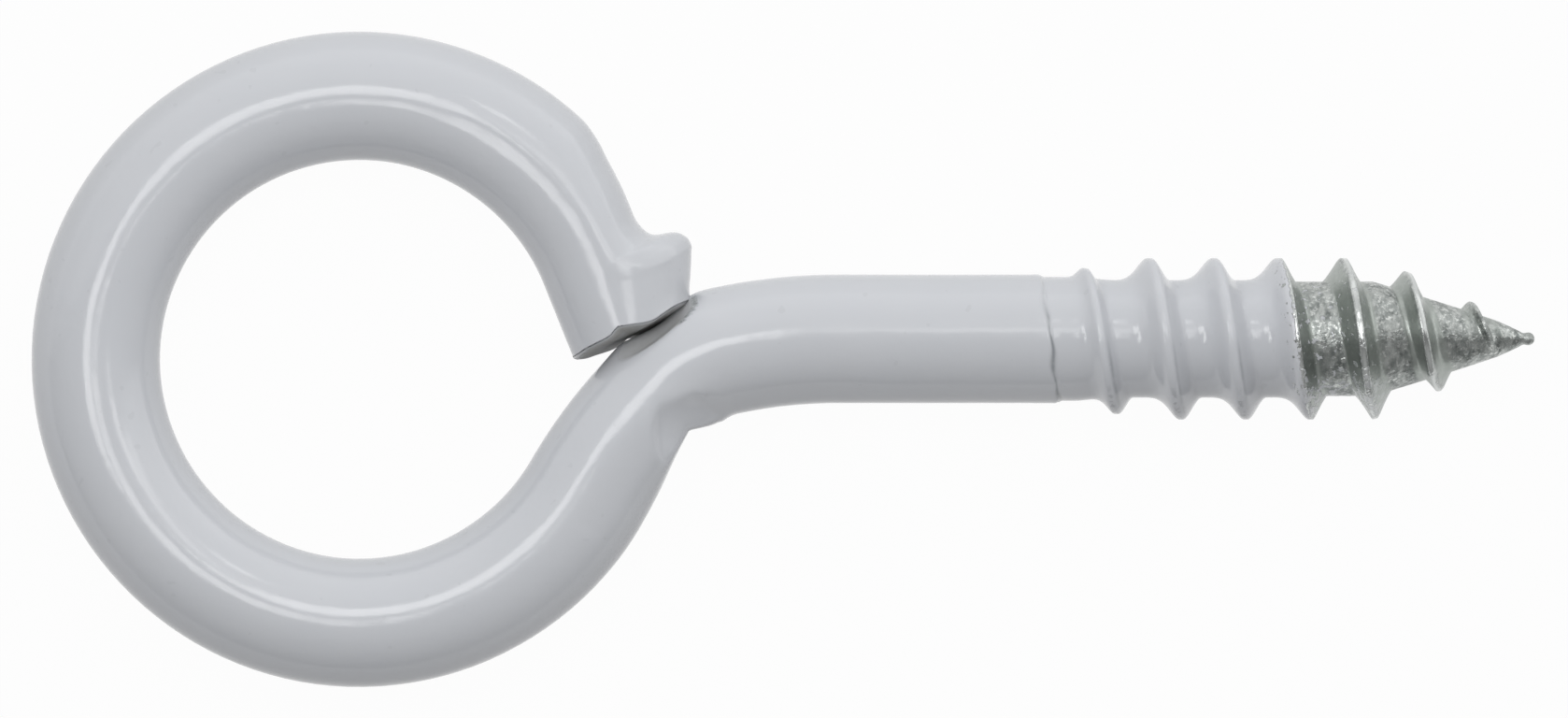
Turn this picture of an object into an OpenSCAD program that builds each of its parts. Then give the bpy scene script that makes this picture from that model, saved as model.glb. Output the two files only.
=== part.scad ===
// Screw eye: one length of wire, bent round into an eye, with a coarse wood thread rolled on its other end.
// Millimetres. The eye lies flat with its centre at the origin, and the shank runs along +X.

/* [Wire] */
// Diameter of the wire, round the eye and along the plain shank
wire_d = 4; // [3:0.1:5]

/* [Eye] */
// Clear diameter inside the eye
eye_inside_d = 12.3; // [9:0.1:24]
// Where the round of the eye stops at the cut end, in degrees above the shank
cut_angle = 22; // [16:1:34]
// Where the round of the eye stops at the neck, in degrees below the shank
neck_angle = 30; // [26:1:40]

/* [Cut end] */
// Gap left between the cut end and the hollow that it pressed into the neck
end_gap = 0.7; // [0.3:0.05:1]
// Depth of that hollow, where the middle of the cut end faces it
hollow_depth = 0.7; // [0.3:0.05:0.8]
// Radius of the hollow
hollow_r = 6; // [5:0.1:8]
// Turn of the hollow from square to the cut end, in degrees
hollow_turn = 9; // [4:1:14]
// Slant of the sheared face, in degrees
shear_slant = 4; // [0:1:10]
// Depth of the flat that the shear left on the outside of the wire
shear_flat = 0.6; // [0.2:0.05:0.9]
// Slope of that flat from the line of the stub, in degrees
shear_flat_slope = 3; // [0:0.5:6]
// How far the lip pushed up by the shear stands above the wire
lip_rise = 0.7; // [0.2:0.05:1]
// Length of the lip's top, along the stub
lip_length = 0.7; // [0.4:0.05:1]

/* [Neck] */
// Radius of the easy bend between the eye and the neck
ease_r = 14; // [10:0.5:20]
// Turn of that easy bend, in degrees
ease_turn = 12; // [6:1:16]
// Straight length in the middle of the neck
neck_length = 1.4; // [1:0.1:2]
// Inside radius of the tight bend at the neck
neck_bend_inside_r = 1; // [0.6:0.1:2]
// Radius of the easy bend between the neck and the shank
fair_r = 17; // [12:0.5:24]
// Turn of that easy bend, in degrees
fair_turn = 12; // [6:1:16]
// Depth of the crease that the bending tool left in the lower side of the neck
crease_depth = 0.6; // [0.2:0.05:0.9]
// Distance from that crease to the start of the tight bend
crease_before_bend = 0.8; // [0.4:0.1:1]
// Slope of the crease's wall on the eye's side, in degrees
crease_lead = 14; // [10:1:24]
// Slope of the crease's wall on the shank's side, in degrees
crease_trail = 37; // [25:1:45]

/* [Shank] */
// Length of the plain straight shank
shank_length = 6.5; // [3:0.5:30]
// Slant of the shoulder where the thread begins, in degrees
shoulder_slant = 7; // [0:1:9]

/* [Thread] */
// Length from the shoulder to the tip
thread_length = 15; // [12:0.5:40]
// Length of the tapered point
point_length = 5; // [4:0.5:8]
// Distance between neighbouring turns
pitch = 2; // [1.6:0.1:2.4]
// How far the crests stand above the wire
crest_rise = 0.5; // [0.2:0.05:0.8]
// How far the roots lie below the wire
root_depth = 0.23; // [0.15:0.01:0.4]
// How far the collar next to the shoulder lies below the wire
collar_depth = 0.08; // [0.04:0.01:0.12]
// Width of the flat along each crest
crest_width = 0.16; // [0.1:0.02:0.3]
// Width of each flank, from the crest down to the root
flank_width = 0.5; // [0.4:0.02:0.6]
// Length over which the thread rises to its full height
run_in = 2.2; // [1:0.1:4]
// Radius of the blunt tip
tip_r = 0.2; // [0.12:0.02:0.3]

/* [Hidden] */

$fn = 96;
coat_white = [0.86, 0.87, 0.89];
wire_r = wire_d / 2;
eye_r = eye_inside_d / 2 + wire_r;
spare = 1;                          // how far cutting tools reach past what they cut
buried = 0.6;                       // how far the neck and the thread run on inside the plain wire
skin = 0.015;                       // how far under the plain wire's surface they lie there

// The neck's middle line: an easy bend, a short straight, a tight bend and another easy bend
ease_length = arc_length(ease_r, ease_turn);
neck_bend_r = neck_bend_inside_r + wire_r;
neck_bend_turn = 90 - neck_angle - ease_turn - fair_turn;
neck_bend_length = arc_length(neck_bend_r, neck_bend_turn);
fair_length = arc_length(fair_r, fair_turn);
eye_heading = 90 - neck_angle;
neck_heading = eye_heading - ease_turn;
neck_start = eye_r * toward(-neck_angle);
neck_foot = along_bend(neck_start, eye_heading, ease_r, ease_length)[0];
neck_top = neck_foot + neck_length * toward(neck_heading);
fair_start = along_bend(neck_top, neck_heading, neck_bend_r, neck_bend_length)[0];
shank_start = along_bend(fair_start, fair_turn, fair_r, fair_length)[0];
bend_from = ease_length + neck_length;
fair_from = bend_from + neck_bend_length;
path_length = fair_from + fair_length;

// The cut end: a straight stub runs on from the eye until it meets the neck
stub_heading = cut_angle - 90;
stub_start = eye_r * toward(cut_angle);
neck_face = neck_foot + wire_r * toward(neck_heading + 90);
stub_reach = cross(neck_face - stub_start, toward(neck_heading))
    / cross(toward(stub_heading), toward(neck_heading));
stub_length = stub_reach + (hollow_depth - end_gap) / sin(neck_heading - stub_heading);
end_middle = stub_start + stub_length * toward(stub_heading);
hollow_middle = end_middle + (end_gap - hollow_r) * toward(stub_heading + hollow_turn);
crease_at = bend_from - crease_before_bend;

// The lip on the cut end's outer side
lip_wall = 0.6 * lip_rise;          // height of the steep wall at its back
lip_back = 0.1;                     // how far that wall leans, down inside the stub
lip_end = 0.1 * lip_rise;           // how far it still stands out at the sheared face

// The neck's skin
neck_r = wire_r - skin;
edge_blend = 0.05;                  // rounds the edges of the hollow and the crease
neck_sides = 40;                    // round the wire
neck_steps = 34;                    // along it

// The thread, along its own axis from the shoulder
core_r = wire_r - root_depth;
collar_r = wire_r - collar_depth;
crest_r = wire_r + crest_rise;
full_rise = crest_r - core_r;
point_start = thread_length - point_length;
point_end = thread_length - tip_r;
rise_from = 0.28;                   // where the crest starts to rise out of the root
first_crest = 0.5;                  // where its skin starts, once it stands clear
last_crest = point_end - tip_r;
least_rise = 0.1;                   // shares of the full height and width that are left at its two ends
least_fall = 0.08;
least_width = 0.2;
point_bulge = 0.92;                 // powers: below 1 bulges the point
crest_fall = 1.3;                   // above 1 holds the crest up along the point
flank_hollow = 1.25;                // above 1 hollows the flanks
start_angle = -103;                 // the crest comes up on the far side of the shank
ball_angle = 45;                    // of the ring of points halfway round the tip
sides = 32;                         // stations in each turn
stations = floor(sides * (last_crest - first_crest) / pitch);
flank_steps = [1, 0.8, 0.45, 0];    // from the root up to the crest
flank_points = len(flank_steps);
profile_points = 2 * flank_points;

function toward(angle) = [cos(angle), sin(angle)];
function arc_length(r, turn) = r * turn * PI / 180;
function turned(length, r) = length / r * 180 / PI;
function clamp(t) = max(0, min(1, t));
function ease(t) = (1 - cos(180 * clamp(t))) / 2;
function quad(a, b, c, d) = [[a, b, c], [a, c, d]];
function fan(hub, rim) = [for (i = [0:len(rim) - 2]) [hub, rim[i], rim[i + 1]]];
function joined(lists) = [for (list = lists) for (item = list) item];

// [place, heading] at a distance along a bend that turns clockwise
function along_bend(from, heading, r, length) =
    let (now = heading - turned(length, r))
    [from + r * (toward(heading - 90) + toward(now + 90)), now];

// [place, heading] of the neck's middle line at a distance from where the round of the eye stops
function along_neck(s) =
    s < 0 ? [eye_r * toward(turned(s, eye_r) - neck_angle), eye_heading + turned(s, eye_r)]
    : s < ease_length ? along_bend(neck_start, eye_heading, ease_r, s)
    : s < bend_from ? [neck_foot + (s - ease_length) * toward(neck_heading), neck_heading]
    : s < fair_from ? along_bend(neck_top, neck_heading, neck_bend_r, s - bend_from)
    : s < path_length ? along_bend(fair_start, fair_turn, fair_r, s - fair_from)
    : [shank_start + [s - path_length, 0], 0];

// How far the neck reaches sideways: to the hollow on the eye's side, to the crease on the other
function soft_min(a, b) = -edge_blend * ln(exp(-a / edge_blend) + exp(-b / edge_blend));
function hollow_side(place, heading) =
    let (to_middle = hollow_middle - place,
        ahead = to_middle * toward(heading),
        aside = to_middle * toward(heading + 90))
    abs(ahead) < hollow_r ? aside - sqrt(hollow_r * hollow_r - ahead * ahead) : wire_d;
function crease_side(s) = wire_r - crease_depth
    + (s < crease_at ? (crease_at - s) * tan(crease_lead) : (s - crease_at) * tan(crease_trail));
function neck_point(s, angle) =
    let (here = along_neck(s),
        side = neck_r * cos(angle),
        across = side > 0 ? soft_min(side, hollow_side(here[0], here[1])) : -soft_min(-side, crease_side(s)),
        spot = here[0] + across * toward(here[1] + 90))
    [spot.x, spot.y, neck_r * sin(angle)];

// Radius between the turns: a slight collar, then the plain root, then the point down to its blunt tip
function taper(x) = clamp((point_end - x) / (point_end - point_start));
function root_r(x) = x < point_start
    ? collar_r + (core_r - collar_r) * ease(x / run_in)
    : tip_r + (core_r - tip_r) * pow(taper(x), point_bulge);

// Share of the full height that the crest has: it comes up over the run-in and dies out along the point
function height(x) = max(least_rise, ease((x - rise_from) / run_in))
    * max(least_fall, 1 - pow(1 - taper(x), crest_fall));

// Point j of the thread's profile at station s, counted from the shank towards the tip
function crest_at(s) = first_crest + pitch * s / sides;
function angle_at(s) = start_angle + 360 * s / sides;
function side_of(j) = j < flank_points ? -1 : 1;
function step_of(j) = flank_steps[min(j, profile_points - 1 - j)];
function width_at(s) = max(least_width, height(crest_at(s)));
function profile_x(s, j) = crest_at(s)
    + side_of(j) * (crest_width / 2 + flank_width * step_of(j)) * width_at(s);
function profile_r(s, j) = root_r(profile_x(s, j))
    + full_rise * height(crest_at(s)) * pow(1 - step_of(j), flank_hollow);
function on_axis(x, r, angle) = [x, r * cos(angle), r * sin(angle)];
function ring(x, r, first) = [for (i = [0:sides - 1]) on_axis(x, r, angle_at(first + i))];

// A skin round the thread: a buried end, one band that follows the helix, and the tip
module thread() {
    end_first = stations - sides;
    band_at = 1 + sides;
    end_at = band_at + (stations + 1) * profile_points;
    ball_at = end_at + sides;
    points = concat(
        [[-buried, 0, 0]],
        ring(-buried, collar_r, 0),
        [for (s = [0:stations], j = [0:profile_points - 1])
            on_axis(profile_x(s, j), profile_r(s, j), angle_at(s))],
        ring(point_end, tip_r, end_first),
        ring(point_end + tip_r * sin(ball_angle), tip_r * cos(ball_angle), end_first),
        [[thread_length, 0, 0]]);
    tip_at = len(points) - 1;
    last_point = profile_points - 1;

    function at(s, j) = band_at + s * profile_points + j;
    function around(from, i) = from + i % sides;

    start_rim = concat([at(sides, 0)], [for (j = [last_point:-1:0]) at(0, j)],
        [around(1, 0), around(1, sides - 1)]);
    end_rim = concat([at(end_first, last_point)], [for (j = [0:last_point]) at(stations, j)],
        [around(end_at, 0), around(end_at, 1)]);
    faces = concat(
        [for (i = [0:sides - 1]) [0, around(1, i), around(1, i + 1)]],
        joined([for (i = [0:sides - 2]) quad(around(1, i), at(i, 0), at(i + 1, 0), around(1, i + 1))]),
        fan(at(sides - 1, 0), start_rim),
        joined([for (s = [0:stations - 1], j = [0:last_point - 1])
            quad(at(s, j), at(s, j + 1), at(s + 1, j + 1), at(s + 1, j))]),
        joined([for (s = [sides:stations - 1])
            quad(at(s - sides, last_point), at(s, 0), at(s + 1, 0), at(s - sides + 1, last_point))]),
        fan(at(end_first + 1, last_point), end_rim),
        joined([for (i = [1:sides - 1])
            quad(at(end_first + i, last_point), around(end_at, i), around(end_at, i + 1),
                at(end_first + i + 1, last_point))]),
        joined([for (i = [0:sides - 1])
            quad(around(end_at, i), around(ball_at, i), around(ball_at, i + 1), around(end_at, i + 1))]),
        [for (i = [0:sides - 1]) [tip_at, around(ball_at, i + 1), around(ball_at, i)]]);
    polyhedron(points, faces);
}

// A length of wire from the local origin along local +X
module straight_wire(length) {
    rotate([0, 90, 0]) cylinder(d = wire_d, h = length);
}

module at_cut_end() {
    rotate([0, 0, cut_angle]) translate([eye_r, 0, 0]) rotate([0, 0, -90]) children();
}

module at_shank() {
    translate([shank_start.x, shank_start.y, 0]) children();
}

// The round of the eye, open between the cut end and the neck
module eye() {
    rotate([0, 0, cut_angle])
        rotate_extrude(angle = 360 - cut_angle - neck_angle)
            translate([eye_r, 0])
                circle(d = wire_d);
}

// The sheared end: a straight stub whose outer side swells into a lip
module cut_end() {
    lip_outline = [
        [lip_back, 0],
        [0, wire_r + lip_wall],
        [lip_length / 2, wire_r + lip_rise],
        [lip_length, wire_r + lip_rise],
        [stub_length, wire_r + lip_end],
        [stub_length + spare, 0]
    ];
    difference() {
        union() {
            straight_wire(stub_length + spare);
            intersection() {
                translate([0, 0, -wire_d]) linear_extrude(2 * wire_d) polygon(lip_outline);
                translate([-spare, lip_rise, 0]) straight_wire(stub_length + 3 * spare);
            }
        }
        translate([stub_length, 0, 0])
            rotate([0, 0, shear_slant])
                translate([0, -wire_d, -wire_d])
                    cube([wire_d, 2 * wire_d, 2 * wire_d]);
    }
}

// What the shear pressed flat on the outer side of the wire, just before the lip
module shear_flat_cut() {
    flat = wire_r - shear_flat;
    far = 2 * wire_d;
    outline = [
        [-far, flat - far * tan(shear_flat_slope)],
        [-shear_flat / 2, flat],
        [0, wire_r],
        [0, wire_d],
        [-far, wire_d]
    ];
    translate([0, 0, -wire_d]) linear_extrude(2 * wire_d) polygon(outline);
}

// The neck: a skin round its middle line, with both ends inside the plain wire
module neck() {
    step = (path_length + 2 * buried) / neck_steps;
    points = [for (k = [0:neck_steps], i = [0:neck_sides - 1])
        neck_point(k * step - buried, 360 * i / neck_sides)];
    function at(k, i) = k * neck_sides + i % neck_sides;
    faces = concat(
        [[for (i = [0:neck_sides - 1]) at(0, i)]],
        joined([for (k = [0:neck_steps - 1], i = [0:neck_sides - 1])
            quad(at(k, i), at(k + 1, i), at(k + 1, i + 1), at(k, i + 1))]),
        [[for (i = [neck_sides - 1:-1:0]) at(neck_steps, i)]]);
    polyhedron(points, faces);
}

// The plain shank, ending in a slanted shoulder
module shank() {
    difference() {
        straight_wire(shank_length + spare);
        translate([shank_length, 0, 0])
            rotate([0, 0, shoulder_slant])
                translate([0, -wire_d, -wire_d])
                    cube([wire_d, 2 * wire_d, 2 * wire_d]);
    }
}

module screw_eye() {
    color(coat_white)
        union() {
            difference() {
                union() {
                    eye();
                    at_cut_end() cut_end();
                }
                at_cut_end() shear_flat_cut();
            }
            neck();
            at_shank() shank();
            at_shank() translate([shank_length, 0, 0]) thread();
        }
}

screw_eye();
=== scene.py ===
"""Looks of the screw eye: one bent wire with a white coat, and a bare zinc-plated thread at its tip.

Sizes are in millimetres and angles in degrees, and become metres and radians where they are used. The
eye's centre is the origin, the shank runs along +X, and the floor is what the thread's crests rest on.

The mesh is a grid of rings round the wire. On the stub, the eye, the neck and the shank a ring is found
by p, its place along the middle line: 0 where the eye starts, and below 0 on the stub that ends in the
sheared face. On the thread a point is found by x, how far it lies beyond the shoulder.
"""

import math

import bpy
import numpy as np
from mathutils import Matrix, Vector


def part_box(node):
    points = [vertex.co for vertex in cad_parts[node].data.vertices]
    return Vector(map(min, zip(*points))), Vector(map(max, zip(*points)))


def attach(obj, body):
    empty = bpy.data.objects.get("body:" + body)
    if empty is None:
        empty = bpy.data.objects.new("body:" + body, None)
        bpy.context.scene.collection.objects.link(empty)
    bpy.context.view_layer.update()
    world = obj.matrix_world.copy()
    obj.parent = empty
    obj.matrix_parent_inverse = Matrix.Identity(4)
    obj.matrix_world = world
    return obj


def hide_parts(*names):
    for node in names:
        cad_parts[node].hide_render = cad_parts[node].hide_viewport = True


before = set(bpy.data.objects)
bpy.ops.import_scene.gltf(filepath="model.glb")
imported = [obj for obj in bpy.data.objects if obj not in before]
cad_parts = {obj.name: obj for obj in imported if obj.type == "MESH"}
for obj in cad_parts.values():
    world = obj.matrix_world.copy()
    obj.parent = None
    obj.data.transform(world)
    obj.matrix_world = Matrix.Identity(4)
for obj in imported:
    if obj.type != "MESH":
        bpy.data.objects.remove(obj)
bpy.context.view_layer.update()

MM = 0.001
NODE = "screw_eye"

# The frame's corners, in millimetres, give the driving sizes
LOW, HIGH = (np.array(corner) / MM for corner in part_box(NODE))
EYE_OUTSIDE_R = -LOW[0]
WIRE_R = 2.0
EYE_R = EYE_OUTSIDE_R - WIRE_R
TIP_X = HIGH[0]
CREST_R = HIGH[2]

# The wire's slow unevenness: its size, and its waves by their counts along a millimetre and round the wire.
# Each wave starts later than the one before it, by another amount round the wire, and weighs less.
UNEVEN = 0.012
UNEVEN_WAVES = [(0.55, 1), (0.9, 2), (1.7, 3), (2.6, 2), (4.1, 5)]
UNEVEN_START, UNEVEN_LATER, UNEVEN_ROUND, UNEVEN_FALL, UNEVEN_SUM = 1.7, 2.3, 1.3, 0.5, 3.2

# Eye and neck: an easy bend, a short straight, a tight bend and an easy bend into the shank
CUT_ANGLE, NECK_ANGLE = 22.0, 30.0
EASE_R, EASE_TURN = 14.0, 12.0
NECK_LENGTH = 1.4
NECK_BEND_R = 1.0 + WIRE_R
FAIR_R, FAIR_TURN = 17.0, 12.0
ENDLESS = 1000.0
NECK_MARGIN = 1.0

# The crease on the inner side of the tight bend
CREASE_DEPTH = 0.6
CREASE_LEAD, CREASE_TRAIL = 14.0, 37.0
CREASE_BEFORE_BEND = 0.8
CREASE_BLEND = 0.12

# The hollow that the cut end pressed into the neck, with a steeper wall under the lip, and the grime and painted
# shade that darken the wall
END_GAP = 0.7
HOLLOW_DEPTH, HOLLOW_R, HOLLOW_TURN = 0.7, 6.0, 9.0
HOLLOW_EDGE_Z, HOLLOW_FOOT_Z = 1.35, 0.1
HOLLOW_SPREAD, HOLLOW_SPREAD_AT_LIP = 0.62, 0.36
HOLLOW_LIP = (0.9, 2.2)
HOLLOW_BLEND = 0.05
WALL_GRIME_AND_SHADE, WALL_GRIME_AND_SHADE_EDGE = 0.5, (-0.03, 0.06)

# The place on the hollow's edge where the coat is scraped off
SCRAPE_START, SCRAPE_END, SCRAPE_FADE = 2.5, 2.95, 0.15
SCRAPE_WIDTH, SCRAPE_LOWEST = 0.05, 0.5

# Flats of the bending tool, on the neck and, rubbed narrow, on the arm; a direction of 90 faces up
FLAT_START, FLAT_LENGTH, FLAT_DEPTH, FLAT_RISE = 0.1, 4.2, 0.29, 0.75
FLAT_SKEW = 0.9
FLAT_ANGLE, FLAT_TWIST, FLAT_TWIST_SPAN = 116.0, 16.0, (-0.3, 1.8)
FLAT_LEAST_LEAN = 0.5
FLAT_BLEND = 0.04
ARM_FLAT_DEPTH, ARM_FLAT_ANGLE = 0.02, 84.5
ARM_FLAT_RISE, ARM_FLAT_FALL = (-1.5, 2.0), (8.5, 6.0)
ARM_FLAT_BLEND, LEAST_BLEND = 0.2, 1e-4
STUB_ENDS, ARM_ENDS = 4.0, ARM_FLAT_FALL[0]

# Cut end, in the stub's own frame: u runs along the stub and v across it, outward from the eye.
# How far the outer side stands from the middle line, along the stub:
OUTER_SIDE = [
    (-3.6, 2.0), (-2.9, 1.88), (-2.4, 1.73), (-1.95, 1.64), (-1.48, 1.56), (-1.07, 1.49), (-0.7, 1.45),
    (-0.4, 1.52), (-0.2, 1.66), (-0.1, 1.86), (-0.02, 2.3), (0.08, 2.5), (0.2, 2.61), (0.36, 2.7), (0.56, 2.72),
    (0.8, 2.63), (1.4, 2.39), (2.2, 2.08), (3.0, 2.0),
]
# How far along the stub the sheared edge lies, across the wire:
END_EDGE = [
    (-2.0, 2.47), (-1.46, 2.38), (-0.82, 2.33), (-0.5, 2.22), (-0.36, 2.13), (-0.1, 2.18), (0.15, 2.24),
    (0.73, 2.35), (1.24, 2.25), (1.68, 2.18), (2.08, 2.18), (2.8, 2.2),
]
SLANT_FROM = 0.5

# The lip, which starts later at the top and bottom of the wire, and the facet and scoop beside its ridge
LIP_LAG, LIP_LAG_SPAN = 0.22, (-0.5, 0.2)
RIDGE_U, RIDGE_V, RIDGE_SLOPE = 0.48, 1.18, 0.23
LIP_SIDE = (-0.5, 0.7)
FACET_FALL, FACET_START = math.tan(math.radians(2.5)), (0, 0.55)
SCOOP_FALL, SCOOP_START, SCOOP_SIDE = 0.07, (-0.25, 0.05), (0.8, 1.8)
UNDERSIDE_SHARE = 0.5

# The sheared face, which leans out at its foot except under the lip, its roughness and its rounded rim, which is
# kept clear of the face's grime and painted shade
FACE_LEAN, FACE_LEAN_AT_LIP = math.tan(math.radians(5.5)), math.tan(math.radians(4.8))
FACE_LIP_SIDE = (0.3, 1.5)
FACE_MIDDLE, FACE_DISH, FACE_LEAST = 2.27, 1.5, 0.05
FACE_TOP = 0.97
FACE_ROUGH, FACE_ROUGH_V, FACE_ROUGH_Z = 0.008, 3.1, 2.7
RIM_R, RIM_UNDARKENED = 0.09, (1.0, 0.9)
# Rings of the face: size against the wire's, and how far back in shares of the rim's radius
FACE_RINGS = [
    (0.0, 0.0), (0.15, 0.0), (0.3, 0.0), (0.45, 0.0), (0.6, 0.0), (0.72, 0.0), (0.82, 0.0), (0.9, 0.0),
    (0.955, 0.3), (0.985, 0.65),
]

# Shoulder, and the crack in the coat there; waves are size, count round the wire and start
SHOULDER_SLANT = 7.6
SHOULDER_RISE = (-0.03, 0.12)
CRACK_DEPTH, CRACK_WIDTH = 0.04, 0.055
CRACK_DRIFT = [(0.035, 5, 0), (0.02, 11, 60)]
CRACK_SWELL = [(0.0225, 7, 30)]
# The crack's painted shade: faint toward +Y and full from the top round toward -Y, away from the light; angles from
# +Y toward +Z
CRACK_FAINT, CRACK_SHADE_FROM, CRACK_SHADE_TO = 0.1, (38, 72), (300, 200)

# Thread and point
THREAD_LENGTH, POINT_LENGTH, PITCH = 15.0, 5.0, 2.0
CORE_R, COLLAR_R = WIRE_R - 0.23, WIRE_R - 0.08
RUN_IN = 2.2
FIRST_CREST, START_ANGLE = 0.5, -103.0
CREST_RISE = [(0.1, 0.0), (0.6, 0.3), (1.07, 0.47), (2.07, 0.76), (3.07, 1.0), (THREAD_LENGTH, 1.0)]
CORE_TAPER, CREST_TAPER = 0.92, 1.3
LEAST_HEIGHT = 0.08
TIP_R = 0.2
TIP_NECK = [(0.0, 0.2), (0.2, 0.2), (0.34, 0.18), (0.5, 0.255), (0.75, 0.375), (1.24, 0.63), (2.0, 2.0), (3.0, 4.0)]

# Ridges, bare and coated; pairs are for the side toward the shoulder and the side toward the tip
CREST_WIDTH, BARE_FLANKS, BARE_POWER, LEAST_WIDTH = 0.16, (0.52, 0.4), 1.2, 0.25
COATED_CREST, COATED_FLANKS, COATED_POWERS, LEAST_COATED_WIDTH = 0.05, (1.1, 0.58), (3.0, 1.8), 0.5
COAT_FILL, COAT_FILL_START = 0.05, (0.2, 1.0)

# The coat's edge, which follows a crest in front and comes back to its start behind
COATED_TURNS = 3
RETURN_FROM, RETURN_TO = 215.0, 290.0
COAT_BLEND = 0.05

# The painted shade line beside the coated crests, on their side toward the tip and only from the top round
# toward -Y, and what counts as a flank or crest, by distance from the crest and by the ridge's height
LINE_SHADE, LINE_PLACE, LINE_WIDTH = 0.6, 0.17, 0.04
LINE_FROM, LINE_TO, LINE_START = (80, 110), (178, 160), (0.5, 1.0)
FLANK_INNER, FLANK_OUTER, FLANK_HEIGHT = (0.1, 0.16), (0.62, 0.54), (0.25, 0.5)
CREST_TOP, CREST_HEIGHT = (0.085, 0.055), (0.3, 0.7)

# Mesh: points in a ring, rows in a turn of the thread, how far its helix stops short of the tip, and rings
# of the tip and its ball
COLUMNS = 96
TURN = 360.0 / COLUMNS
THREAD_ROWS = np.array([
    0.0, 0.12, 0.23, 0.32, 0.40, 0.47, 0.54, 0.61, 0.68, 0.75, 0.82, 0.88, 0.93, 0.97, 1.0,
    1.03, 1.07, 1.12, 1.18, 1.25, 1.32, 1.39, 1.46, 1.53, 1.60, 1.68, 1.78, 1.89, PITCH,
])
THREAD_SHORT = 0.4
TIP_RINGS, BALL_ANGLES = 5, [20, 40, 58, 74]

# What the mesh's points carry, and its value where a part says nothing: distance beyond the coat's edge, painted
# shade in the shoulder crack and beside the coated crests, grime and painted shade in the hollow and on the
# sheared face, coat scraped off, and share of a ridge's flank or crest
ATTRIBUTES = {"bare": -5.0, "crease": 0.0, "grime_and_shade": 0.0, "scrape": 0.0, "flank": 0.0, "crest": 0.0}
FULLY_BARE = 5.0


def toward(angle):
    """Unit vector at an angle."""
    return np.array([math.cos(math.radians(angle)), math.sin(math.radians(angle))])


def cross(a, b):
    return a[0] * b[1] - a[1] * b[0]


def arc_length(r, turn):
    return r * math.radians(turn)


def ease(t):
    return (1 - np.cos(np.pi * np.clip(t, 0, 1))) / 2


def ramp(low, high, x):
    """0 at low, 1 at high, and a straight rise between them."""
    return np.clip((x - low) / (high - low), 0, 1)


def smooth(low, high, x):
    """0 at low, 1 at high, and a smooth rise between them."""
    t = ramp(low, high, x)
    return t * t * (3 - 2 * t)


def bell(x, middle, width):
    return np.exp(-(((x - middle) / width) ** 2))


def soft_min(a, b, blend):
    return -blend * np.logaddexp(-a / blend, -b / blend)


def waves(around, sines):
    """Sum of waves round the wire, each with its size, count and start."""
    return sum(size * np.sin(np.radians(count * around + start)) for size, count, start in sines)


def wobble(p, angle):
    """Gentle unevenness between about -1 and 1, the same each run."""
    total = 0.0
    for k, (along, around) in enumerate(UNEVEN_WAVES):
        shift = UNEVEN_START + UNEVEN_LATER * k
        wave = np.sin(along * p + shift) * np.cos(around * np.radians(angle) + UNEVEN_ROUND * shift)
        total = total + wave / (1 + UNEVEN_FALL * k)
    return total / UNEVEN_SUM


def curve(points, x):
    """Smooth curve through a few points, monotone between them."""
    xs, ys = np.array(points).T
    slopes = np.diff(ys) / np.diff(xs)
    tangents = np.zeros(len(xs))
    inner = slopes[:-1] * slopes[1:] > 0
    tangents[1:-1][inner] = 2 * slopes[:-1][inner] * slopes[1:][inner] / (slopes[:-1][inner] + slopes[1:][inner])
    x = np.clip(x, xs[0], xs[-1])
    k = np.clip(np.searchsorted(xs, x, side="right") - 1, 0, len(xs) - 2)
    h = xs[k + 1] - xs[k]
    t = (x - xs[k]) / h
    return (
        (1 + 2 * t) * (1 - t) ** 2 * ys[k]
        + t * (1 - t) ** 2 * h * tangents[k]
        + t * t * (3 - 2 * t) * ys[k + 1]
        + t * t * (t - 1) * h * tangents[k + 1]
    )


# ---------------------------------------------------------------- the middle line


class Path:
    """The wire's middle line, from the cut end round the eye, through the neck and down the shank."""

    def __init__(self):
        tight = 90 - NECK_ANGLE - EASE_TURN - FAIR_TURN
        self.eye_end = arc_length(EYE_R, 360 - CUT_ANGLE - NECK_ANGLE)
        self.pieces = []
        place, heading, start = EYE_R * toward(CUT_ANGLE), CUT_ANGLE + 90, 0.0
        for length, bend in [
            (self.eye_end, 1 / EYE_R),
            (arc_length(EASE_R, EASE_TURN), -1 / EASE_R),
            (NECK_LENGTH, 0),
            (arc_length(NECK_BEND_R, tight), -1 / NECK_BEND_R),
            (arc_length(FAIR_R, FAIR_TURN), -1 / FAIR_R),
            (ENDLESS, 0),
        ]:
            self.pieces.append((start, place, heading, bend))
            place, heading = self.step(place, heading, bend, length)
            start += length
        self.neck_foot, self.neck_top = self.pieces[2][0], self.pieces[3][0]
        self.shank, self.shank_place = self.pieces[5][:2]
        self.crease = self.neck_top - CREASE_BEFORE_BEND

    @staticmethod
    def step(place, heading, bend, length):
        """Place and heading some way along a piece of constant bend."""
        now = heading + math.degrees(length * bend)
        if bend == 0:
            return place + length * toward(heading), now
        return place + (toward(now - 90) - toward(heading - 90)) / bend, now

    def at(self, p):
        """Place and heading at p; the stub goes straight on before the eye."""
        if p < 0:
            _, place, heading, _ = self.pieces[0]
            return self.step(place, heading, 0, p)
        start, place, heading, bend = [piece for piece in self.pieces if piece[0] <= p][-1]
        return self.step(place, heading, bend, p - start)


path = Path()

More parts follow.
